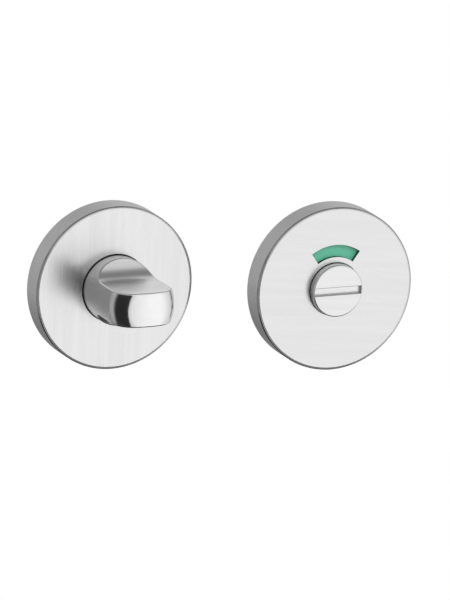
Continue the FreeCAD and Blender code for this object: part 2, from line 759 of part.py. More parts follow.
def make_circlip(half):
    """Retaining clip in the shank's groove, with its gap to the right."""
    body = new_body(f"{half}_circlip", half)
    inside = clip_seat + d.clip_fit
    ring = Outline(body, f"{half}_clip_outline", lift=clip_back)
    ring.circle(inside)
    ring.circle(inside + d.clip_width - d.clip_offset, x=-d.clip_offset)
    ring.pad(f"{half}_clip_ring", d.clip_thickness)
    reach = inside + d.clip_ear
    ear_x = reach * cosine(d.clip_ear_angle)
    ear_y = reach * sine(d.clip_ear_angle)
    for name, radius in (("ears", d.clip_ear), ("ear_holes", d.clip_ear_hole / 2)):
        circles = Outline(body, f"{half}_{name}_outline", lift=clip_back)
        circles.circle(radius, ear_x, ear_y).circle(radius, ear_x, -ear_y)
        if name == "ears":
            circles.pad(f"{half}_{name}", d.clip_thickness)
        else:
            circles.pocket(f"{half}_{name}", d.clip_thickness, backwards=True)
    gap = Outline(body, f"{half}_gap_outline", lift=clip_back)
    gap.rectangle(NOTHING, reach + d.clip_ear, -(d.clip_gap / 2), d.clip_gap / 2)
    gap.pocket(f"{half}_gap", d.clip_thickness, backwards=True)
    return body


def make_spindle():
    """Square bar from the knob through the door."""
    body = new_body("spindle", "turn")
    half_width = d.spindle_width / 2
    bar = Outline(body, "spindle_outline", lift=-d.spindle_behind)
    bar.rectangle(-half_width, half_width, -half_width, half_width)
    bar_pad = bar.pad("spindle_bar", d.spindle_behind + d.spindle_inside)
    ends = edges_where(bar_pad, lambda edge, middle: not is_seam(edge))
    bevel_edges(body, "spindle_ends", bar_pad, ends, d.spindle_chamfer)
    cut_pin_hole(body, "spindle")
    return body


def cut_pin_hole(body, name):
    hole = Outline(body, f"{name}_pin_hole_outline", "YZ_Plane")
    hole.circle(d.pin_diameter / 2 + d.pin_fit, y=d.pin_height)
    return hole.pocket(f"{name}_pin_hole", both_ways=True)


def make_pin():
    """Rolled pin through the shank and the spindle, kept in by the bush."""
    body = new_body("spindle_pin", "turn")
    outside = d.pin_diameter / 2
    rolled = Outline(body, "pin_outline", "YZ_Plane")
    rolled.circle(outside, y=d.pin_height).circle(outside - d.pin_wall, y=d.pin_height)
    rolled.pad("pin_tube", d.shank_diameter - d.pin_short * 2, both_ways=True)
    slit = Outline(body, "pin_slit_outline", "YZ_Plane")
    slit.rectangle(-(d.pin_slit / 2), d.pin_slit / 2, d.pin_height - d.pin_diameter, d.pin_height)
    slit.pocket("pin_slit", both_ways=True)
    return body


def make_wood_screws(half):
    """Two countersunk screws on opposite sides of the hub."""
    body = new_body(f"{half}_wood_screws", half, d.screw_turn.value)
    body.AllowCompound = True
    centre = screw_radius
    head = d.screw_head / 2
    shaft = d.screw_diameter / 2
    point = d.plate_thickness - d.screw_length
    section = Outline(body, f"{half}_screw_section", "XZ_Plane")
    section.upright_axis(centre)
    section.polygon([
        (centre, d.plate_thickness),
        (centre + head, d.plate_thickness),
        (centre + shaft, d.plate_thickness - (head - shaft)),
        (centre + shaft, point + d.screw_point),
        (centre + d.screw_root / 2, point + d.screw_point),
        (centre, point),
    ])
    blank = section.turned(f"{half}_screw", axis="Axis0")
    recess = Outline(body, f"{half}_recess_outline", lift=d.plate_thickness)
    recess.cross(centre, d.recess_span / 2, d.recess_width / 2)
    cut = recess.pocket(f"{half}_recess", d.recess_depth)
    ring_pattern(body, f"{half}_screws", [blank, cut], 2)
    return body


make_cover("turn", d.knob_diameter / 2 + d.knob_gap)
make_cover("release", d.coin_diameter / 2 + d.coin_gap, window=True)
for half, hub_top in (("turn", turn_hub_top), ("release", release_hub_top)):
    make_plate(half, hub_top)
    make_bush(half, hub_top)
    make_flat_washer(half)
    make_curved_washer(half)
    make_circlip(half)
    make_wood_screws(half)
make_knob()
make_spindle()
make_pin()
make_coin_turn()
make_disc()
make_foil("green_sector", 0.0)
make_foil("red_sector", 90.0)
doc.recompute()

# Every object has to be sound before anything is written
for item in doc.Objects:
    if "Invalid" in item.State or "Error" in item.State:
        raise ValueError(f"{item.Name} failed: {item.State}")
pieces = [item for item in doc.Objects if item.TypeId == "PartDesign::Body"]
for piece in pieces:
    if piece.Shape.isNull() or not piece.Shape.isValid():
        raise ValueError(f"{piece.Label} is not a sound solid")
for piece in pieces:
    piece.Shape.exportStep(f"parts/{piece.Label}.step")
    print(f"{piece.Label}: {len(piece.Shape.Solids)} solid, {piece.Shape.Volume:.1f} cubic mm")
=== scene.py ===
# %% [markdown]
# Bathroom lock set on two round roses. The thumb turn goes on the inside of the door and the coin
# release on the outside, and a square spindle joins them. The solids come ready made, at their real
# size: this script gives them their metal, their light and the camera's view. It begins by fetching
# the solids and noting how big the whole set is, and the floor is later placed below that box.

# %% fetch the solids
import json
from math import asin, cos, degrees, pi, radians, sin

import bmesh
import bpy
from mathutils import Matrix, Vector


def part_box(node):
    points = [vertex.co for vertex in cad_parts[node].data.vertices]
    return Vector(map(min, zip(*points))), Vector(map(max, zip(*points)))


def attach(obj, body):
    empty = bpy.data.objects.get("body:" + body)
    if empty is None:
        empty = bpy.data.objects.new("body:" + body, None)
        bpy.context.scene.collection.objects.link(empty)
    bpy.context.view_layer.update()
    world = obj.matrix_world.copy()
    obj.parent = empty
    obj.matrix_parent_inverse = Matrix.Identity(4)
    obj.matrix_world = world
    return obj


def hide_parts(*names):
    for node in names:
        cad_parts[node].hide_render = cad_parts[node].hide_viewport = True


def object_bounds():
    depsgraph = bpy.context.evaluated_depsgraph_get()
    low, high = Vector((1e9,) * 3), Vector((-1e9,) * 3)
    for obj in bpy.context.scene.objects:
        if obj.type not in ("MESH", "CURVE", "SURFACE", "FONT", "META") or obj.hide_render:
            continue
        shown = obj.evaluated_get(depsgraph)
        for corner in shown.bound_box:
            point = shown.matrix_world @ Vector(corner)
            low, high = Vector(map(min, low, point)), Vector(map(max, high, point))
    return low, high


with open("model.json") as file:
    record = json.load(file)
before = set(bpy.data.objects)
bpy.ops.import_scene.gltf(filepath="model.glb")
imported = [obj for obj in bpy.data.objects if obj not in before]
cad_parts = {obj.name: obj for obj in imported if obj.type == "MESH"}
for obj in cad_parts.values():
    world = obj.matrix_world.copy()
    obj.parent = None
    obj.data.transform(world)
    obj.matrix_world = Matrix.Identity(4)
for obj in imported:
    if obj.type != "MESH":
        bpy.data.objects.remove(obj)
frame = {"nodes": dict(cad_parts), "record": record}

MM = 0.001
nodes = frame["nodes"]
cad_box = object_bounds()

# %% [markdown]
# Everything is placed from the solids themselves. A rose is round and faces the front (-Y), so its
# box gives its axis, its front, its back and its radius. Two small records keep those for later.

# %% measure the two roses
def measure_rose(cover):
    low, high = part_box(cover)
    return {
        "centre": (low + high) / 2,
        "front": low.y,
        "back": high.y,
        "radius": (high.x - low.x) / 2,
    }


turn_rose = measure_rose("turn_cover")
release_rose = measure_rose("release_cover")
for rose in (turn_rose, release_rose):
    height = (rose["back"] - rose["front"]) / MM
    print(f"rose {rose['radius'] * 2 / MM:.1f} mm across, {height:.1f} mm high")

# %% [markdown]
# Metal, plastic and foil are made of shader nodes. Wiring them one by one hides the idea behind the
# sums, so a small class wraps a socket: arithmetic on it adds the Math nodes, and one method adds any
# other node. A finish then reads like a formula, and the same few lines serve every material.

# %% a socket that can be reckoned with
class Wire:
    """The value on a node's output socket."""

    def __init__(self, socket):
        self.socket = socket

    def node(self, kind, settings=None, inputs=None, output=0):
        """Adds a node beside this one: its settings first, then its sockets' values or wires."""
        tree = self.socket.id_data
        made = tree.nodes.new(kind)
        for name, value in (settings or {}).items():
            if name == "stops":
                set_stops(made.color_ramp, value)
            else:
                setattr(made, name, value)
        for name, value in (inputs or {}).items():
            if isinstance(value, Wire):
                tree.links.new(value.socket, made.inputs[name])
            else:
                made.inputs[name].default_value = value
        return Wire(made.outputs[output])

    def math(self, operation, *others):
        values = (self, *others)
        return self.node("ShaderNodeMath", {"operation": operation}, dict(enumerate(values)))

    def __add__(self, other):
        return self.math("ADD", other)

    def __sub__(self, other):
        return self.math("SUBTRACT", other)

    def __rsub__(self, other):
        return self * -1 + other

    def __mul__(self, other):
        return self.math("MULTIPLY", other)

    def __truediv__(self, other):
        return self.math("DIVIDE", other)

    __radd__ = __add__
    __rmul__ = __mul__

    def ramp(self, low, high):
        """0 up to low, 1 from high on, and a smooth rise between them."""
        settings = {"interpolation_type": "SMOOTHSTEP"}
        inputs = {"Value": self, "From Min": low, "From Max": high}
        return self.node("ShaderNodeMapRange", settings, inputs)

    def parts(self):
        """The three numbers of a vector."""
        split = self.node("ShaderNodeSeparateXYZ", inputs={0: self}).socket.node
        return [Wire(socket) for socket in split.outputs]

    def stretched(self, x, y, z):
        """A vector times three numbers, one for each direction."""
        return self.node("ShaderNodeVectorMath", {"operation": "MULTIPLY"}, {0: self, 1: (x, y, z)})

    def noise(self, scale=1.0, detail=2.0, roughness=0.5):
        """Soft random values around a half, read at this vector."""
        inputs = {"Vector": self, "Scale": scale, "Detail": detail, "Roughness": roughness}
        return self.node("ShaderNodeTexNoise", inputs=inputs)


print("arithmetic on a socket now adds nodes")

# %% [markdown]
# Two things don't fit a plain sum. A colour ramp keeps its stops in a list of its own, which starts
# with two. And colours are blended by a Mix node, because a Math node would turn them grey.

# %% ramps and blended colours
def set_stops(ramp, stops):
    while len(ramp.elements) < len(stops):
        ramp.elements.new(1.0)
    for element, (position, colour) in zip(ramp.elements, stops):
        element.position = position
        element.color = (*colour, 1)


def mixed(amount, first, second):
    """Between two colours: the first at 0, the second at 1."""
    sockets = {0: amount, 6: first, 7: second}
    return amount.node("ShaderNodeMix", {"data_type": "RGBA"}, sockets, output=2)


print("two colours mix by the value of a socket")

# %% [markdown]
# Every finish starts alike: an empty material whose pattern is read in millimetres. It is read in the
# piece's own coordinates, which turn with it, so the grain stays on the knob when the knob turns.

# %% a finish to start from
def new_finish(name):
    """A material, its surface node, and the place on the piece in millimetres."""
    material = bpy.data.materials.new(name)
    material.use_nodes = True
    tree = material.node_tree
    surface = tree.nodes["Principled BSDF"]
    metres = Wire(tree.nodes.new("ShaderNodeTexCoord").outputs["Object"])
    return material, surface, metres.stretched(1 / MM, 1 / MM, 1 / MM)


def set_surface(surface, **values):
    """Sets or links the sockets of a surface, named like Base_Color."""
    for name, value in values.items():
        socket = surface.inputs[name.replace("_", " ").title()]
        if isinstance(value, Wire):
            surface.id_data.links.new(value.socket, socket)
        else:
            socket.default_value = value


def bumped(height, distance):
    """A normal that follows a height of 0 to 1, which stands for a distance in millimetres."""
    inputs = {"Strength": 1.0, "Distance": distance * MM, "Height": height}
    return height.node("ShaderNodeBump", inputs=inputs)


def grey(value):
    return (value, value, value, 1)


print("finishes read their pattern in millimetres")

# %% [markdown]
# The roses are drawn stainless steel, brushed with a belt: long scratches one way over the face, and
# round the rim where the cup was spun. Anisotropic shading would need a tangent that the export drops,
# so the scratches are noise, squeezed across the grain and stretched along it. As a shallow bump they
# smear reflections across the grain, as real scratches do. Broad faint bands in the colour are the
# belt's uneven pressure.

# %% scratches and bands
SCRATCH_WIDTH = 0.14
SCRATCH_LENGTH = 11.0
BAND_WIDTH = 2.6


def turned_place(place, centre, angle):
    """The place from a centre in metres, turned about the front's own direction."""
    inputs = {0: place, 1: tuple(centre / MM)}
    moved = place.node("ShaderNodeVectorMath", {"operation": "SUBTRACT"}, inputs)
    inputs = {"Vector": moved, "Angle": angle}
    return moved.node("ShaderNodeVectorRotate", {"rotation_type": "Y_AXIS"}, inputs)


def scratches(place):
    """Fine scratches along Z of a vector in millimetres."""
    across = 1 / SCRATCH_WIDTH
    return place.stretched(across, across, 1 / SCRATCH_LENGTH).noise(1.0, 3.0, 0.6)


def bands(place):
    """Broad faint streaks along Z."""
    across = 1 / BAND_WIDTH
    return place.stretched(across, across, 0.02).noise(1.0, 2.0, 0.6)


print(f"scratches {SCRATCH_WIDTH} mm wide and {SCRATCH_LENGTH} mm long")

# %% [markdown]
# One function brushes both roses, the left one upright and the right one nearly level. The belt rolls
# off the last millimetre of the face, so the bump falls away there, and handling has made the small
# rounding between face and rim smoother: both show the dark below as a thin line. The rounding is also
# coloured darker, a painted shade that draws that line. The walls of the openings were cut after the
# brushing and are rougher. Their colour is painted shade: the knob's hole only a little darker than
# the face, the walls of the window and of the coin turn's hole nearly black.

# %% brushed steel
GRAIN_DEPTH = 0.010
EDGE_FALL = 0.14
SPUN_STROKES = 2.6
# Painted shade: the colour of the rounding between face and rim
EDGE_SHADE_TONE = 0.44
# Millimetres inside the rim, in pairs between which a mask rises
SPUN_EDGE = (0.9, 0.3)
ROLLED_EDGE = (1.0, 0.45)
WORN_AND_SHADED_EDGE = (0.55, 0.40)
PLAIN_RIM = (2.4, 2.2)
# Millimetres behind the face, in such pairs
CUT_WALL = (0.12, 0.30)
ROUNDING_ENDS = (0.4, 0.8)
LEVEL_BRUSHING = radians(84)


def brushed_rose(name, rose, angle, dark, light, cut_wall_shade):
    material, surface, place = new_finish(name)
    across = turned_place(place, rose["centre"], angle)
    x, y, z = across.parts()
    from_axis = (x * x + z * z).math("SQRT")
    around = across.node("ShaderNodeCombineXYZ", inputs={0: x / from_axis, 1: y, 2: z / from_axis})
    spun = around.stretched(SPUN_STROKES, 1 / SCRATCH_WIDTH, SPUN_STROKES).noise(1.0, 3.0, 0.6)
    radius = rose["radius"] / MM
    edge, rolled, rounding, outside = [
        from_axis.ramp(radius - start, radius - end)
        for start, end in (SPUN_EDGE, ROLLED_EDGE, WORN_AND_SHADED_EDGE, PLAIN_RIM)]
    behind_face = y - (rose["front"] - rose["back"]) / 2 / MM
    cut = behind_face.ramp(*CUT_WALL) * (1 - outside)
    corner = rounding * (1 - behind_face.ramp(*ROUNDING_ENDS))
    height = scratches(across) * (1 - edge) + spun * edge
    shade = bands(across) * 0.6 + height * 0.4
    brushed = mixed(shade.ramp(0.3, 0.7), grey(dark), grey(light))
    # The rounding's darker colour is painted shade, the dark line under the rim
    edge_shaded = mixed(corner, brushed, grey(EDGE_SHADE_TONE))
    rough = 0.22 + height * 0.14 + cut * 0.2 - corner * 0.16
    relief = height * (1 - corner * 0.8) - rolled * rolled * EDGE_FALL / GRAIN_DEPTH
    # The walls of the openings get a painted shade as their colour
    set_surface(surface, Base_Color=mixed(cut, edge_shaded, grey(cut_wall_shade)), Metallic=1.0,
                Roughness=rough, Normal=bumped(relief, GRAIN_DEPTH))
    return material


# Painted shade on the openings' walls: light in the upright rose, nearly black in the level one
turn_face = brushed_rose("steel_brushed_upright", turn_rose, 0.0,
                         dark=0.82, light=0.90, cut_wall_shade=0.80)
release_face = brushed_rose("steel_brushed_level", release_rose, LEVEL_BRUSHING,
                            dark=0.82, light=0.87, cut_wall_shade=0.09)
print("brushed:", turn_face.name, release_face.name)

# %% [markdown]
# The knob is one casting, ground and then polished finer than the roses, so its front shows the studio
# almost like a mirror. The scoops for thumb and finger are ground with a drum, which leaves a grain
# across them. Close to the rose, between the flanks, the colour is darker: a painted shade where the
# scoops run into the base.

# %% the satin knob
# Millimetres out from the rose and from the knob's middle, in pairs between which a mask rises
KNOB_FRONT = (22.0, 25.6)
SCOOP_BEGINS = (0.0, 3.0)
ROOT_SHADE_ENDS = (0.0, 16.0)
KNOB_FLANK = (8.0, 9.6)
# Lines to a millimetre along X, Y and Z
OUTWARD_GRAIN = (5.0, 0.22, 5.0)
SIDEWAYS_GRAIN = (0.12, 4.0, 4.0)


def satin_knob():
    material, surface, place = new_finish("steel_satin_knob")
    x, y, _ = place.parts()
    out = y * -1 - (turn_rose["back"] - turn_rose["front"]) / MM
    front = out.ramp(*KNOB_FRONT)
    between_flanks = 1 - x.math("ABSOLUTE").ramp(*KNOB_FLANK)
    scoop = between_flanks * out.ramp(*SCOOP_BEGINS) * (1 - front)
    root_shade = between_flanks * (1 - out.ramp(*ROOT_SHADE_ENDS))
    outward = place.stretched(*OUTWARD_GRAIN).noise(1.0, 2.0, 0.6)
    sideways = place.stretched(*SIDEWAYS_GRAIN).noise(1.0, 2.0, 0.6)
    grain = outward * (1 - scoop) + sideways * scoop
    cloud = place.noise(0.12, 2.0)
    polished = mixed(cloud.ramp(0.3, 0.7), grey(0.86), grey(0.93))
    # Painted shade: darker colour close to the rose, between the flanks
    set_surface(surface, Base_Color=mixed(root_shade, polished, grey(0.66)), Metallic=1.0,
                Roughness=0.26 - front * 0.14 + grain * 0.05,
                Normal=bumped(grain * (1 - front) * (0.25 + scoop), 0.012))
    return material


knob_finish = satin_knob()
print(f"{knob_finish.name}: {len(knob_finish.node_tree.nodes)} nodes")

# %% [markdown]
# The coin turn's front is brushed the way of its rose. Its flank is left as the lathe cut it, a little
# duller. The long walls of its slot are milled, and their dark colour is painted shade; the ends of
# the slot are lighter and rougher.

# %% the satin coin turn
coin_low, coin_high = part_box("coin_turn")
COIN_RADIUS = (coin_high.x - coin_low.x) / 2 / MM
COIN_BRUSHING = radians(86)
SLOT_REACH = 7.85
SLOT_DEPTH = 1.25


def satin_coin(rose):
    material, surface, place = new_finish("steel_satin_coin")
    across = turned_place(place, rose["centre"], COIN_BRUSHING)
    x, _, z = across.parts()
    from_axis = (x * x + z * z).math("SQRT")
    flank = from_axis.ramp(COIN_RADIUS - 0.14, COIN_RADIUS - 0.03)
    slot_end = from_axis.ramp(SLOT_REACH - 0.08, SLOT_REACH - 0.02)
    depth = place.parts()[1] - coin_low.y / MM
    above_floor = 1 - depth.ramp(SLOT_DEPTH - 0.2, SLOT_DEPTH - 0.05)
    milled = depth.ramp(0.12, 0.30) * above_floor * (1 - flank)
    height = scratches(across)
    brushed = mixed(bands(across).ramp(0.3, 0.7), grey(0.84), grey(0.88))
    turned = mixed(flank, brushed, grey(0.80))
    # Painted shade: the slot's long walls are coloured dark, its ends lighter
    walls = mixed(slot_end, grey(0.22), grey(0.78))
    set_surface(surface, Base_Color=mixed(milled, turned, walls), Metallic=1.0,
                Roughness=0.22 + height * 0.1 + flank * 0.1 + milled * slot_end * 0.4,
                Normal=bumped(height, 0.004))
    return material


coin_finish = satin_coin(release_rose)
print(f"{coin_finish.name}: head {COIN_RADIUS * 2:.1f} mm across")

# %% [markdown]
# Behind the roses are plainer materials: cast plates with a sandy skin, nylon bushes, dark spring
# steel for clips and curved washers, and zinc plate on screws, washers and spindle. They only need a
# colour, a gloss and a surface each, so one function makes them all from a short table.

# %% the hidden metals and plastics
def plain_finish(name, dark, light, metallic, roughness, grain_size, grain_depth):
    """Speckled colour and a fine bump; the grain is given in millimetres."""
    material, surface, place = new_finish(name)
    grain = place.noise(1 / grain_size, 3.0, 0.6)
    cloud = place.noise(0.15, 1.0)
    tint = mixed(grain * 0.6 + cloud * 0.4, (*dark, 1), (*light, 1))
    set_surface(surface, Base_Color=tint, Metallic=metallic, Roughness=roughness + cloud * 0.12,
                Normal=bumped(grain, grain_depth))
    return material


# Material, darkest and lightest colour, metallic, roughness, grain size and grain depth
PLAIN_FINISHES = {
    "cast_metal": ("cast_plate", (0.42, 0.43, 0.45), (0.56, 0.57, 0.59), 1.0, 0.42, 0.35, 0.03),
    "nylon": ("nylon_bush", (0.80, 0.79, 0.74), (0.86, 0.85, 0.81), 0.0, 0.36, 0.8, 0.004),
    "spring_steel": ("spring_steel", (0.10, 0.10, 0.11), (0.17, 0.17, 0.18), 1.0, 0.30, 0.25, 0.006),
    "plated_steel": ("zinc_plate", (0.60, 0.62, 0.66), (0.74, 0.75, 0.76), 1.0, 0.22, 0.4, 0.005),
    "white_plastic": ("disc_plastic", (0.82, 0.82, 0.80), (0.86, 0.86, 0.84), 0.0, 0.38, 0.5, 0.004),
    "green_foil": ("green_foil", (0.128, 0.52, 0.343), (0.143, 0.55, 0.368), 0.0, 0.42, 0.4, 0.003),
    "red_foil": ("red_foil", (0.60, 0.035, 0.03), (0.66, 0.05, 0.04), 0.0, 0.42, 0.4, 0.003),
}
finishes = {slot: plain_finish(*row) for slot, row in PLAIN_FINISHES.items()}
print(f"plain finishes: {', '.join(finishes)}")

# %% [markdown]
# The record of the part says which material slot each solid has. The four pieces of brushed and satin
# steel get their own finish, and every other solid takes the one of its slot.

# %% give each solid its finish
steel_finishes = {
    "turn_cover": turn_face,
    "release_cover": release_face,
    "thumb_knob": knob_finish,
    "coin_turn": coin_finish,
}
slot_of = {part["node"]: part["material_slot"] for part in frame["record"]["subparts"]}
for name, solid in nodes.items():
    finish = steel_finishes.get(name) or finishes[slot_of[name]]
    for slot in solid.material_slots:
        slot.material = finish
print(f"{len(nodes)} solids finished in {len(finishes) + len(steel_finishes)} materials")

# %% [markdown]
# Two countersunk wood screws hold each plate to the door. A rolled thread is a sharp ridge that winds
# round a thinner core and runs out on the point. Rings on a blank would not wind, so the mesh is laid
# along the helix: each row of points climbs by one pitch in a turn and meets the row that began a
# pitch higher. Rows that would pass an end are held there, and doubled points are merged.

# %% the shape of one wood screw
SCREW = {"head": 3.4, "shaft": 1.75, "core": 1.2, "tip": 0.12, "length": 16.0, "point": 4.0}
PITCH = 1.4
CREST_SHARE = 0.6
THREAD_START = 4.4
SIDES = 40
ROWS_A_PITCH = 8


def core_radius(depth):
    """The thread's core: even, then a cone to the point."""
    left = SCREW["length"] - depth
    return SCREW["tip"] + (SCREW["core"] - SCREW["tip"]) * min(1.0, left / SCREW["point"])


def ridge_height(depth):
    """How far the crest stands out: it grows in over a turn and runs out on the point."""
    full = SCREW["shaft"] - SCREW["core"]
    grows_in = (depth - THREAD_START) / PITCH
    runs_out = (SCREW["length"] - depth) / (SCREW["point"] + 0.8)
    return full * max(0.0, min(1.0, grows_in, runs_out))


def ring_point(radius, side, depth):
    angle = 2 * pi * side / SIDES
    return Vector((radius * cos(angle), depth, radius * sin(angle))) * MM


def add_thread(mesh):
    """Rows along the helix between the plain shank and the point."""
    span = SCREW["length"] - THREAD_START
    rows = int(span / PITCH * ROWS_A_PITCH) + 2
    grid = {}
    for row in range(-ROWS_A_PITCH, rows + 1):
        share = row % ROWS_A_PITCH / ROWS_A_PITCH
        crest = max(0.0, 1 - abs(share - 0.5) / (CREST_SHARE / 2))
        for side in range(SIDES + 1):
            climbed = PITCH * (row / ROWS_A_PITCH + side / SIDES)
            depth = THREAD_START + min(max(climbed, 0.0), span)
            radius = core_radius(depth) + ridge_height(depth) * crest
            grid[row, side] = mesh.verts.new(ring_point(radius, side, depth))
    for row in range(-ROWS_A_PITCH, rows):
        for side in range(SIDES):
            corners = [(row, side), (row, side + 1), (row + 1, side + 1), (row + 1, side)]
            mesh.faces.new([grid[corner] for corner in corners])
    return rows


sample = bmesh.new()
print(f"thread of {add_thread(sample) / ROWS_A_PITCH:.1f} turns, {len(sample.faces)} faces")
sample.free()

# %% [markdown]
# The head is a cone under a flat front with a cross recess for the driver, whose walls narrow towards
# the bottom. The front is a plain round sheet with a cross-shaped hole: its two outlines are filled in
# one go, and the recess is the same cross again, smaller and deeper.

# %% the head and its cross recess
RECESS = {"reach": 1.9, "half_wing": 0.45, "depth": 1.4, "bottom_share": 0.55}
HEAD_EDGE = 0.12
SHANK_TAPER = 0.6


def cross_outline(mesh, scale, depth):
    """The twelve corners of a cross, as points of the mesh."""
    far, near = RECESS["reach"] * scale, RECESS["half_wing"] * scale
    quarter = [(far, -near), (far, near), (near, near)]
    corners = []
    for turn in range(4):
        for x, z in quarter:
            for _ in range(turn):
                x, z = -z, x
            corners.append(mesh.verts.new(Vector((x, depth, z)) * MM))
    return corners


def joined_rings(mesh, first, second):
    for place in range(len(first)):
        after = (place + 1) % len(first)
        mesh.faces.new([first[place], first[after], second[after], second[place]])


def outline_edges(mesh, ring):
    """The ring's edges: those that are there, and new ones for the rest."""
    pairs = [(ring[place], ring[place - 1]) for place in range(len(ring))]
    return [mesh.edges.get(pair) or mesh.edges.new(pair) for pair in pairs]


def add_head(mesh):
    """Front, cone and plain shank down to the thread."""
    cone_end = SCREW["head"] - SCREW["shaft"]
    profile = [
        (SCREW["head"] - HEAD_EDGE, 0.0),
        (SCREW["head"], HEAD_EDGE),
        (SCREW["shaft"], cone_end),
        (SCREW["shaft"], THREAD_START - SHANK_TAPER),
        (SCREW["core"], THREAD_START),
    ]
    rings = [[mesh.verts.new(ring_point(radius, side, depth)) for side in range(SIDES)]
             for radius, depth in profile]
    for upper, lower in zip(rings, rings[1:]):
        joined_rings(mesh, upper, lower)
    mouth = cross_outline(mesh, 1.0, 0.0)
    bottom = cross_outline(mesh, RECESS["bottom_share"], RECESS["depth"])
    joined_rings(mesh, mouth, bottom)
    mesh.faces.new(bottom)
    rims = outline_edges(mesh, rings[0]) + outline_edges(mesh, mouth)
    bmesh.ops.triangle_fill(mesh, use_beauty=True, use_dissolve=False, edges=rims)


def wood_screw_mesh():
    mesh = bmesh.new()
    add_head(mesh)
    add_thread(mesh)
    bmesh.ops.remove_doubles(mesh, verts=mesh.verts, dist=0.002 * MM)
    open_edges = [edge for edge in mesh.edges if edge.is_boundary]
    bmesh.ops.holes_fill(mesh, edges=open_edges, sides=SIDES)
    bmesh.ops.recalc_face_normals(mesh, faces=mesh.faces)
    return mesh


sample = wood_screw_mesh()
open_edges = sum(1 for edge in sample.edges if not edge.is_manifold)
print(f"{len(sample.faces)} faces, {open_edges} open edges")
sample.free()

# %% [markdown]
# Each pair of screws takes the place of the two plain ones in the solids. Their axes are read from
# there: the solid's box reaches from the outer side of one head to the outer side of the other.

# %% put the screws in their plates
def add_wood_screws(solid_name):
    low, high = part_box(solid_name)
    reach = SCREW["head"] * MM
    pair = bmesh.new()
    for corner, inward in ((low, 1), (high, -1)):
        screw = wood_screw_mesh()
        place = Vector((corner.x + inward * reach, low.y, corner.z + inward * reach))
        bmesh.ops.transform(screw, matrix=Matrix.Translation(place), verts=screw.verts)
        single = bpy.data.meshes.new(solid_name)
        screw.to_mesh(single)
        screw.free()
        pair.from_mesh(single)
    data = bpy.data.meshes.new(f"{solid_name}_threaded")
    pair.to_mesh(data)
    pair.free()
    data.shade_smooth()
    data.set_sharp_from_angle(angle=radians(38))
    screws = bpy.data.objects.new(f"{solid_name}_threaded", data)
    bpy.context.scene.collection.objects.link(screws)
    data.materials.append(finishes["plated_steel"])
    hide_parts(solid_name)
    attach(screws, "roses")
    return screws


for solid_name in ("turn_wood_screws", "release_wood_screws"):
    screws = add_wood_screws(solid_name)
    print(f"{screws.name}: {len(screws.data.polygons)} faces")

# %% [markdown]
# The coin slot doesn't run out through the flank of the head: a thin wall closes it at both ends, so
# that a coin can't slip out sideways. The solid has its slot cut straight through, and two small
# fillings make those walls. Each is one outline, from the slot's floor over the rounded rim to the
# flank, drawn again and again across the slot's width and joined up. A filling runs a little way into
# the slot's own walls and floor, so that no gap shows.

# %% the walls at the ends of the coin slot
SLOT_WIDTH = 2.4
HEAD_ROUNDING = 0.5
INTO_WALLS = 0.08
INTO_FLOOR = 0.1
STEPS_ACROSS = 12
STEPS_ROUND = 7


def end_wall_outline(across):
    """Distance out from the axis and depth behind the front, at one place across the slot."""
    inner = (SLOT_REACH ** 2 + across ** 2) ** 0.5
    first = asin((inner - COIN_RADIUS + HEAD_ROUNDING) / HEAD_ROUNDING)
    outline = [(SLOT_REACH, SLOT_DEPTH + INTO_FLOOR)]
    for step in range(STEPS_ROUND + 1):
        turn = first + (pi / 2 - first) * step / STEPS_ROUND
        reach = COIN_RADIUS - HEAD_ROUNDING * (1 - sin(turn))
        outline.append(((reach ** 2 - across ** 2) ** 0.5, HEAD_ROUNDING * (1 - cos(turn))))
    outline.append(((COIN_RADIUS ** 2 - across ** 2) ** 0.5, SLOT_DEPTH + INTO_FLOOR))
    return outline


def add_slot_ends():
    centre = release_rose["centre"]
    middle = Vector((centre.x, coin_low.y, centre.z))
    mesh = bmesh.new()
    half_width = SLOT_WIDTH / 2 + INTO_WALLS
    for side in (-1, 1):
        rings = []
        for step in range(STEPS_ACROSS + 1):
            across = half_width * (2 * step / STEPS_ACROSS - 1)
            rings.append([mesh.verts.new(middle + Vector((side * out, depth, across)) * MM)
                          for out, depth in end_wall_outline(across)])
        for first, second in zip(rings, rings[1:]):
            joined_rings(mesh, first, second)
        mesh.faces.new(rings[0])
        mesh.faces.new(rings[-1])
    bmesh.ops.recalc_face_normals(mesh, faces=mesh.faces)
    data = bpy.data.meshes.new("coin_slot_ends")
    mesh.to_mesh(data)
    mesh.free()
    data.shade_smooth()
    data.set_sharp_from_angle(angle=radians(30))
    ends = bpy.data.objects.new("coin_slot_ends", data)
    bpy.context.scene.collection.objects.link(ends)
    data.materials.append(coin_finish)
    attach(ends, "release")
    return ends


slot_ends = add_slot_ends()
print(f"{slot_ends.name}: {SLOT_REACH} mm from the axis, in a head of {COIN_RADIUS:.1f} mm")

# %% [markdown]
# The camera stands four metres away with a very long lens, a little to the left and above, and is
# tipped by two degrees. The three angles were found by fitting the circles of both roses in the
# picture. The offsets say where the middle of the picture lies, seen from the turn's axis.

# %% the camera
VIEW_AZIMUTH = -23.9
VIEW_ELEVATION = 15.3
CAMERA_ROLL = 2.16
CAMERA_DISTANCE = 4.0
AIM_RIGHT = 37.2 * MM
AIM_DOWN = 5.74 * MM
PICTURE_HEIGHT = 600
PIXELS_PER_MM = 3.235


def view_axes(azimuth, elevation, roll):
    """Right, up and backwards of a camera or a lamp, as unit vectors."""
    a, e = radians(azimuth), radians(elevation)
    back = Vector((sin(a) * cos(e), -cos(a) * cos(e), sin(e)))
    level = Vector((cos(a), sin(a), 0))
    tip = Matrix.Rotation(radians(roll), 3, back)
    right = tip @ level
    return right, back.cross(right), back


def aimed(right, up, back, place):
    return Matrix.Translation(place) @ Matrix((right, up, back)).transposed().to_4x4()


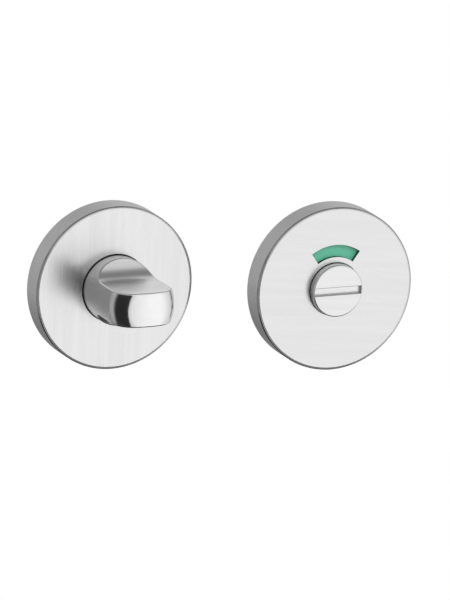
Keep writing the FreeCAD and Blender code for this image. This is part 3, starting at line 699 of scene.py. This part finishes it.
def add_camera():
    right, up, back = view_axes(VIEW_AZIMUTH, VIEW_ELEVATION, CAMERA_ROLL)
    camera = bpy.data.objects.new("camera", bpy.data.cameras.new("camera"))
    bpy.context.scene.collection.objects.link(camera)
    place = right * AIM_RIGHT - up * AIM_DOWN + back * CAMERA_DISTANCE
    camera.matrix_world = aimed(right, up, back, place)
    focal_pixels = PIXELS_PER_MM * CAMERA_DISTANCE / MM
    camera.data.lens = camera.data.sensor_width * focal_pixels / PICTURE_HEIGHT
    camera.data.clip_end = 40
    bpy.context.scene.camera = camera
    return camera


camera = add_camera()
print(f"lens {camera.data.lens:.0f} mm")

# %% [markdown]
# Polished metal has hardly a colour of its own: it shows the room. The room here has a broad white
# light in front, which ends sharply where a black card begins on the left, and dims slowly to the
# right. The card's top slopes down towards the front. Half-lit paper stands behind the set, and below
# it is dark. Two colour ramps round the horizon describe the walls, one for the level and one higher
# up. The camera itself sees plain white, the paper that the set was pictured on, and the metal gets a
# faint gleam from that paper too.

# %% the room
# Degrees from the front, to the right, and the brightness there
LOW_WALL = [
    (-180, 0.31), (-130, 0.38), (-112, 0.45), (-101, 0.02), (-15, 0.02), (-13, 0.64),
    (-2, 0.74), (12, 0.90), (22, 1.0), (38, 1.0), (50, 0.88), (70, 0.76),
    (90, 0.68), (112, 0.61), (126, 0.56), (150, 0.47), (180, 0.31),
]
HIGH_WALL = [
    (-180, 0.31), (-115, 0.42), (-30, 0.46), (-8, 0.72), (10, 0.82), (40, 0.84),
    (75, 0.58), (110, 0.45), (140, 0.50), (155, 0.43), (168, 0.33), (180, 0.31),
]
CEILING = 0.22
BELOW = 0.05
CARD_LEVEL = 0.022
CARD_SLOPE = 0.2
PAPER_GLEAM = 0.06
SHADE_BEHIND = 0.45
# Degrees, in pairs between which one part of the room passes into the next
CARD_LEFT = (-101, -98)
CARD_RIGHT = (-18, -14)
CARD_TOP = (4, 11)
LOW_TO_HIGH = (-4, 17)
HIGH_TO_CEILING = (38, 68)
DARK_TO_LOW = (-43, -35)
SHADE_TO_WALL = (-34, -14)
GLEAM_RISES = (-30, 25)
SIDE_TO_BACK = (125, 150)


def round_the_room(azimuth, stops):
    """Brightness by direction; stops are (degrees from the front, brightness)."""
    settings = {"stops": [((turn + 180) / 360, (value,) * 3) for turn, value in stops]}
    return azimuth.node("ShaderNodeValToRGB", settings, {0: azimuth / 360 + 0.5})


def blended(amount, first, second):
    """Between two brightnesses: the first at 0, the second at 1."""
    return first * (1 - amount) + second * amount


def black_card(azimuth, elevation):
    """1 on the card and 0 beside it."""
    card = azimuth.ramp(*CARD_LEFT) * (1 - azimuth.ramp(*CARD_RIGHT))
    return card * (1 - (elevation + azimuth * CARD_SLOPE).ramp(*CARD_TOP))


def room_brightness(azimuth, elevation, behind):
    low = round_the_room(azimuth, LOW_WALL)
    high = round_the_room(azimuth, HIGH_WALL)
    walls = blended(elevation.ramp(*LOW_TO_HIGH), low, high)
    with_card = blended(black_card(azimuth, elevation), walls, CARD_LEVEL)
    upward = blended(elevation.ramp(*HIGH_TO_CEILING), with_card, CEILING)
    shade = (1 - elevation.ramp(*SHADE_TO_WALL)) * behind * SHADE_BEHIND
    return blended(elevation.ramp(*DARK_TO_LOW), BELOW, upward * (1 - shade))


def add_room():
    world = bpy.data.worlds.new("room")
    bpy.context.scene.world = world
    world.use_nodes = True
    tree = world.node_tree
    x, y, z = Wire(tree.nodes.new("ShaderNodeTexCoord").outputs["Generated"]).parts()
    azimuth = x.math("ARCTAN2", y * -1) * degrees(1)
    elevation = z.math("ARCSINE") * degrees(1)
    behind = azimuth.math("ABSOLUTE").ramp(*SIDE_TO_BACK)
    room = room_brightness(azimuth, elevation, behind)
    path = tree.nodes.new("ShaderNodeLightPath")
    to_camera = Wire(path.outputs["Is Camera Ray"])
    in_metal = Wire(path.outputs["Is Glossy Ray"]) + Wire(path.outputs["Is Transmission Ray"])
    gleam = behind * elevation.ramp(*GLEAM_RISES) * PAPER_GLEAM
    strength = blended(to_camera, room + in_metal * gleam, 1.0)
    tree.links.new(strength.socket, tree.nodes["Background"].inputs["Strength"])
    tree.nodes["Background"].inputs["Color"].default_value = grey(1)
    return world


world = add_room()
print(f"{world.name}: {len(world.node_tree.nodes)} nodes")

# %% [markdown]
# Foil and plastic scatter light instead of mirroring it, so they want a soft even lamp. It is a large
# panel in front, above the set, that glossy rays don't see: the metal keeps the room's reflections.
# The black card would turn the flat faces black for someone who looks from the right, and the dark
# below for someone who looks from above. Two dim panels stand in there. Light linking shows them to
# the flat faces only, so the polished knob keeps its dark band.

# %% the lamps
def add_panel(name, azimuth, elevation, distance, width, brightness, seen_by=()):
    """A square lamp that faces the set; brightness 1 is white in a mirror."""
    light = bpy.data.lights.new(name, "AREA")
    light.size = width
    light.energy = brightness * pi * width ** 2
    lamp = bpy.data.objects.new(name, light)
    bpy.context.scene.collection.objects.link(lamp)
    right, up, back = view_axes(azimuth, elevation, 0)
    lamp.matrix_world = aimed(right, up, back, back * distance)
    lamp.visible_camera = False
    lamp.visible_glossy = bool(seen_by)
    if seen_by:
        audience = bpy.data.collections.new(f"{name}_audience")
        for piece in seen_by:
            audience.objects.link(piece)
        lamp.light_linking.receiver_collection = audience
    return lamp


faces = [nodes["turn_cover"], nodes["release_cover"], nodes["coin_turn"], slot_ends]
lamps = [
    add_panel("softbox", azimuth=-12, elevation=26, distance=2.0, width=2.0, brightness=2.0),
    add_panel("left_panel", azimuth=-62, elevation=-8, distance=1.0, width=1.0, brightness=0.50,
              seen_by=faces),
    add_panel("low_panel", azimuth=0, elevation=-86, distance=1.0, width=0.9, brightness=0.14,
              seen_by=faces),
]
print([f"{lamp.name} {lamp.data.energy:.1f} W" for lamp in lamps])

# %% [markdown]
# A floor of pale paper lies below the set, far enough down that the picture doesn't reach it, and
# catches the soft shadow. Towards its border it fades away, so no edge shows in any view, and to the
# camera its colour is lifted to the white of the paper. From below it lets the view through. The
# metal doesn't mirror it: in the room's own reflections it is dark below, which draws the dark lines
# under the roses.

# %% the floor
FLOOR_DROP = 0.32
FLOOR_RADIUS = 0.9
# Millimetres from the floor's middle, between which it fades away
FLOOR_FADE = (250, 620)


def paper_finish():
    material, surface, place = new_finish("floor_paper")
    x, y, _ = place.parts()
    fade = (x * x + y * y).math("SQRT").ramp(*FLOOR_FADE)
    fibre = place.noise(0.4, 3.0)
    path = surface.id_data.nodes.new("ShaderNodeLightPath")
    lifted = Wire(path.outputs["Is Camera Ray"])
    geometry = surface.id_data.nodes.new("ShaderNodeNewGeometry")
    underside = Wire(geometry.outputs["Backfacing"])
    set_surface(surface, Base_Color=mixed(fibre, grey(0.80), grey(0.83)), Roughness=0.8,
                Emission_Color=mixed(lifted, grey(0.0), grey(0.75)), Emission_Strength=1.0,
                Alpha=(1 - fade) * (1 - underside))
    return material


def add_floor():
    low, high = cad_box
    centre = Vector(((low[0] + high[0]) / 2, (low[1] + high[1]) / 2, low[2] - FLOOR_DROP))
    disc = bmesh.new()
    bmesh.ops.create_circle(disc, cap_ends=True, segments=96, radius=FLOOR_RADIUS)
    data = bpy.data.meshes.new("floor")
    disc.to_mesh(data)
    disc.free()
    floor = bpy.data.objects.new("floor", data)
    bpy.context.scene.collection.objects.link(floor)
    floor.location = centre
    floor.visible_glossy = False
    data.materials.append(paper_finish())
    return floor


floor = add_floor()
print(f"floor {FLOOR_DROP / MM:.0f} mm below the roses")

# %% [markdown]
# Last, colours are shown as they are, with the Standard view transform.

# %% the view transform
bpy.context.scene.view_settings.view_transform = "Standard"
